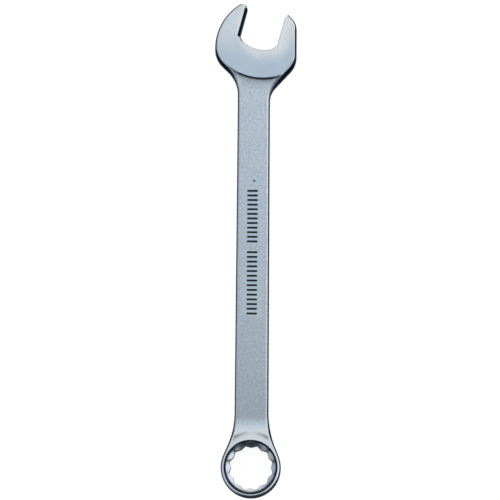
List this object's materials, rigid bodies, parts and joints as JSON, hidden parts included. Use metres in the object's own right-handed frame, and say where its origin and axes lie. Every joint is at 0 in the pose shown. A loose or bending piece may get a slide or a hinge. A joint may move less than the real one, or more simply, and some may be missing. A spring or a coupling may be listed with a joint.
{
  "type": "combination wrench",
  "caption": "Flat combination wrench with an angled fixed open jaw at one end and a raised closed ring with a star-shaped bore at the other.",
  "frame": {"origin": "centre of the wrench's bounding box, on the surface that its back rests on", "axes": "+Y along the shank toward the open end, +X to the right seen from the front, +Z out of the front face"},
  "size_m": [0.0404, 0.2444, 0.0174],
  "materials": {
    "polished_steel": "satin polished chrome plate on forged chrome vanadium steel",
    "satin_steel": "matt satin chrome plate on forged chrome vanadium steel"
  },
  "bodies": {
    "root": {"open_end": "polished_steel", "shank": "satin_steel", "box_end": "polished_steel"}
  },
  "joints": []
}
